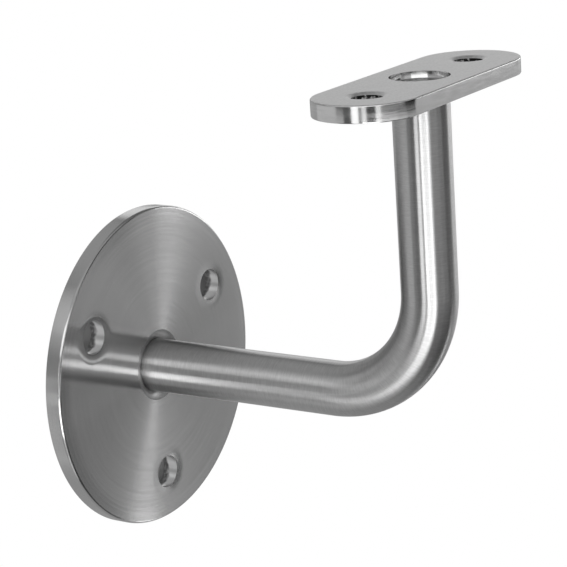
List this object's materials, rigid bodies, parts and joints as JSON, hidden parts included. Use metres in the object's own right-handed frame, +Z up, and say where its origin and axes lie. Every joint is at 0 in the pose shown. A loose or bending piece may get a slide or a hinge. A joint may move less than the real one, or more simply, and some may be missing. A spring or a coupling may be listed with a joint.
{
  "type": "handrail bracket",
  "caption": "Wall bracket for a handrail: a round screw-on wall plate, a round bar bent square, and a flat obround plate that carries the rail.",
  "frame": {"origin": "centre of the wall plate's back face, on the wall", "axes": "+Y into the wall, -Y out into the room, +Z up to the rail, X along the rail"},
  "size_m": [0.073, 0.086, 0.1055],
  "materials": {
    "turned_plate": "stainless steel, face brushed in circles round its centre",
    "brushed_bar": "stainless steel, brushed round the bar",
    "linished_plate": "stainless steel, matte blasted faces and linished edge",
    "weld_bead": "stainless steel weld, rippled and pickled"
  },
  "bodies": {
    "root": {"wall_plate": "turned_plate", "support_bar": "brushed_bar", "rail_plate": "linished_plate", "wall_weld": "weld_bead", "rail_weld": "weld_bead"}
  },
  "joints": []
}
